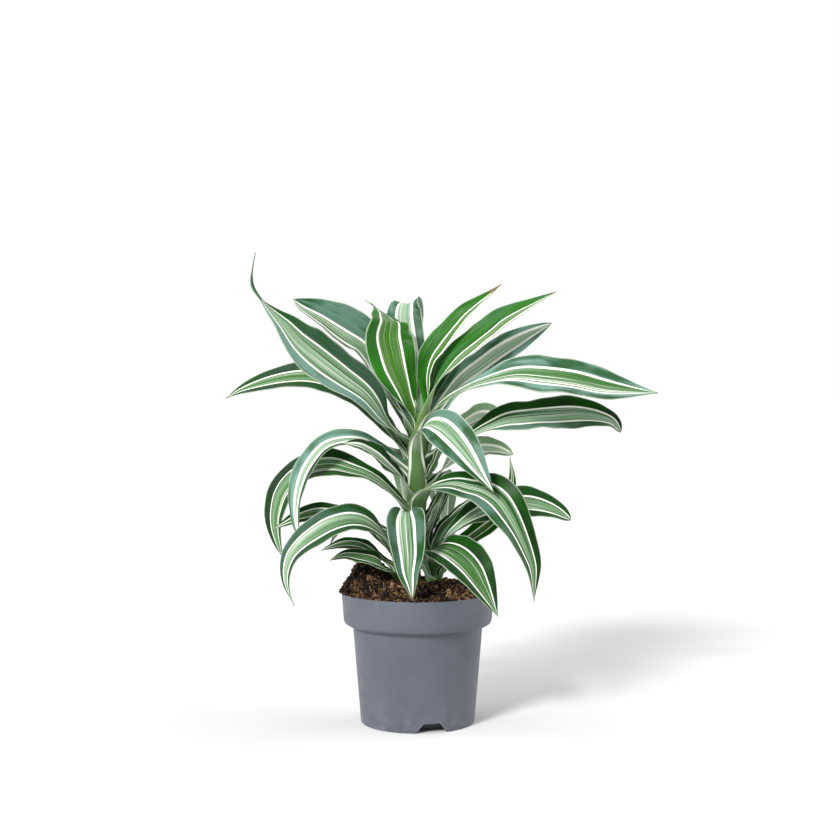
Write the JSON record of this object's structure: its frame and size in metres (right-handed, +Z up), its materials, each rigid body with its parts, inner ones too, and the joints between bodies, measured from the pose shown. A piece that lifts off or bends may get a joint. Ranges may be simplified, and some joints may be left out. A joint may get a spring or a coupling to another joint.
{
  "type": "potted dracaena",
  "caption": "Potted dracaena: leafy stems of long arching green and white striped leaves, standing in soil in a tapered plastic nursery pot with a wide rim band.",
  "frame": {"origin": "on the pot's axis, on the surface that the pot stands on", "axes": "+Z up; +X to the right and +Y to the back, seen from the front"},
  "size_m": [0.3344, 0.1997, 0.3671],
  "materials": {
    "pot_plastic": "moulded blue-grey plastic, faint sheen",
    "potting_mix": "dark crumbly peat with tan fibres",
    "stem": "smooth green stem with leaf scars",
    "leaf": "waxy dark green, white and pale green stripes along the blade",
    "young_leaf": "waxy bright green, white stripes along the blade"
  },
  "bodies": {
    "root": {"pot": "pot_plastic", "soil": "potting_mix", "stem_main": "stem", "stem_left": "stem", "stem_right": "stem", "leaf_broad_left": "leaf", "leaf_under_left": "leaf", "leaf_back_left": "leaf", "leaf_front_bright": "young_leaf", "leaf_top_curled": "leaf", "leaf_upper_right_first": "young_leaf", "leaf_upper_right_second": "young_leaf", "leaf_upper_right_third": "leaf", "leaf_far_right": "leaf", "leaf_right_arch": "leaf", "leaf_front_droop": "leaf", "leaf_right_back_pale": "leaf", "leaf_right_mid": "leaf", "leaf_front_right_long": "leaf", "leaf_left_long": "leaf", "leaf_left_front": "leaf", "leaf_left_mid": "leaf", "leaf_front_down": "leaf", "leaf_left_low_thin": "leaf", "leaf_left_low_arch": "leaf", "leaf_left_small_upper": "leaf", "leaf_left_small_lower": "leaf", "leaf_front_right_low": "leaf", "leaf_right_low_arch": "leaf", "leaf_right_low_upright": "young_leaf", "leaf_right_inner_first": "leaf", "leaf_right_inner_second": "leaf", "leaf_right_inner_third": "leaf", "leaf_right_inner_fourth": "leaf", "leaf_right_inner_fifth": "leaf", "leaf_right_foot_first": "leaf", "leaf_right_foot_second": "leaf", "leaf_rear_upper": "leaf", "leaf_rear_upper_left": "leaf", "leaf_rear_upper_right": "leaf", "leaf_rear_middle": "leaf", "leaf_rear_middle_left": "leaf", "leaf_rear_middle_right": "leaf", "leaf_rear_low_right": "leaf", "leaf_rear_low_left": "leaf", "leaf_rear_low_middle": "leaf", "leaf_rear_low_inner": "leaf"}
  },
  "joints": []
}
